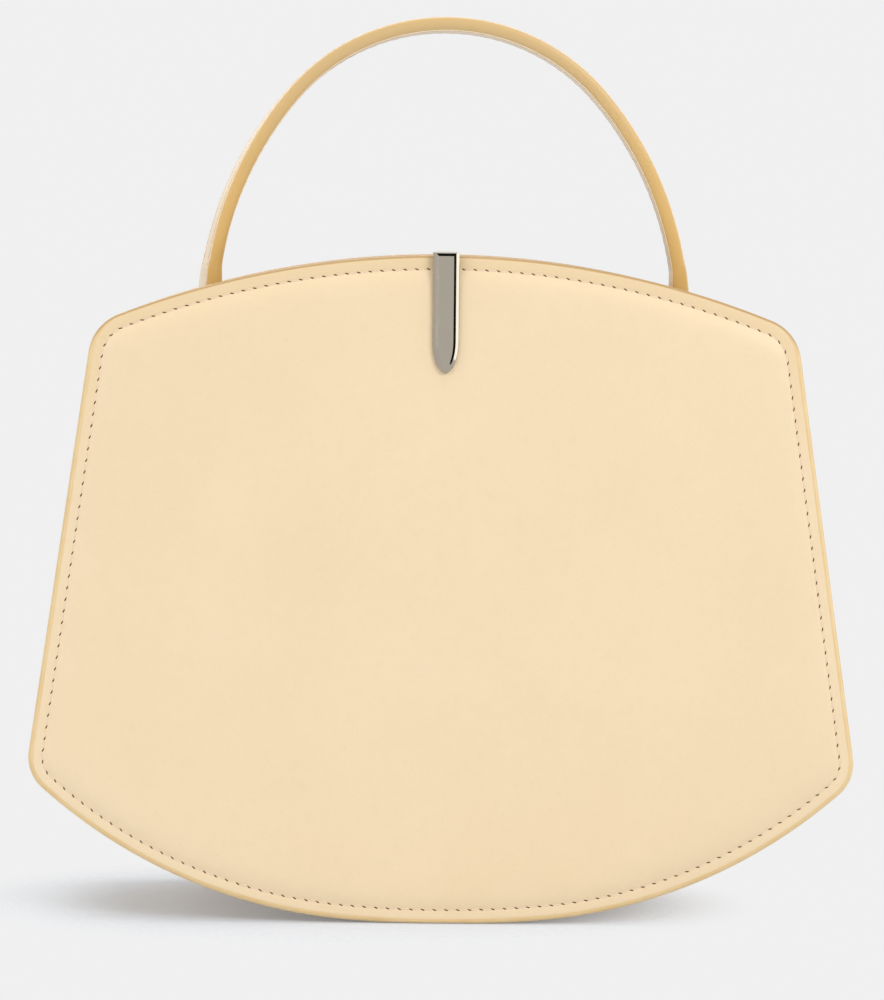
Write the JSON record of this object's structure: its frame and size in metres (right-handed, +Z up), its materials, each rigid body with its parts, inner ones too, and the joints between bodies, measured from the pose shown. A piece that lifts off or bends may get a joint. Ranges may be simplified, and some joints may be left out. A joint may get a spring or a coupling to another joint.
{
  "type": "structured leather handbag",
  "caption": "Stiff leather handbag with leaning padded panels, two folding compartments, an arched top handle and a metal clasp that swings over the top.",
  "frame": {"origin": "on the ground, below the middle of the bag", "axes": "+Z up, the front panel with the clasp's tongue faces -Y, +X to the right seen from the front"},
  "size_m": [0.2416, 0.0808, 0.265],
  "materials": {
    "panel_leather": "smooth pale butter calf, satin",
    "gusset_leather": "smooth pale butter calf, satin",
    "handle_leather": "smooth calf with honey painted edges",
    "lining": "suede",
    "board": "pressed fibre board",
    "foam": "thin padding felt",
    "clasp_metal": "polished warm nickel",
    "inner_steel": "plain steel"
  },
  "bodies": {
    "body": {"centre_front_leather": "gusset_leather", "centre_board": "board", "centre_back_leather": "gusset_leather", "front_gusset_left": "gusset_leather", "front_gusset_right": "gusset_leather", "front_base": "gusset_leather", "back_gusset_left": "gusset_leather", "back_gusset_right": "gusset_leather", "back_base": "gusset_leather", "handle_anchor_left": "inner_steel", "handle_anchor_right": "inner_steel", "pivot_pins": "inner_steel", "anchor_rivets": "inner_steel", "slip_pocket": "lining"},
    "front_panel": {"front_leather": "panel_leather", "front_foam": "foam", "front_board": "board", "front_lining": "lining", "clasp_keeper": "inner_steel"},
    "back_panel": {"back_leather": "panel_leather", "back_foam": "foam", "back_board": "board", "back_lining": "lining", "clasp_hinge_plate": "clasp_metal", "clasp_backing_plate": "inner_steel", "clasp_screws": "inner_steel"},
    "clasp": {"clasp_arm": "clasp_metal", "clasp_pin": "clasp_metal", "clasp_magnet": "inner_steel"},
    "handle": {"handle_outer_leather": "handle_leather", "handle_inner_leather": "handle_leather", "handle_core": "inner_steel"}
  },
  "joints": [
    {"name": "front_open", "type": "hinge", "parent": "body", "child": "front_panel", "pos_m": [0, -0.0392, 0], "axis": [1, 0, 0], "range_deg": [0, 4.5]},
    {"name": "back_open", "type": "hinge", "parent": "body", "child": "back_panel", "pos_m": [0, 0.0392, 0], "axis": [-1, 0, 0], "range_deg": [0, 4.5]},
    {"name": "clasp_swing", "type": "hinge", "parent": "back_panel", "child": "clasp", "pos_m": [0, 0.0249, 0.1941], "axis": [-1, 0, 0], "range_deg": [0, 172]},
    {"name": "handle_swing", "type": "hinge", "parent": "body", "child": "handle", "pos_m": [0, 0, 0.172], "axis": [1, 0, 0], "range_deg": [-15, 15]}
  ],
  "couplings": [
    {"joint": "front_open", "follows": "clasp_swing", "ratio": 0.026162},
    {"joint": "back_open", "follows": "clasp_swing", "ratio": 0.026162}
  ]
}
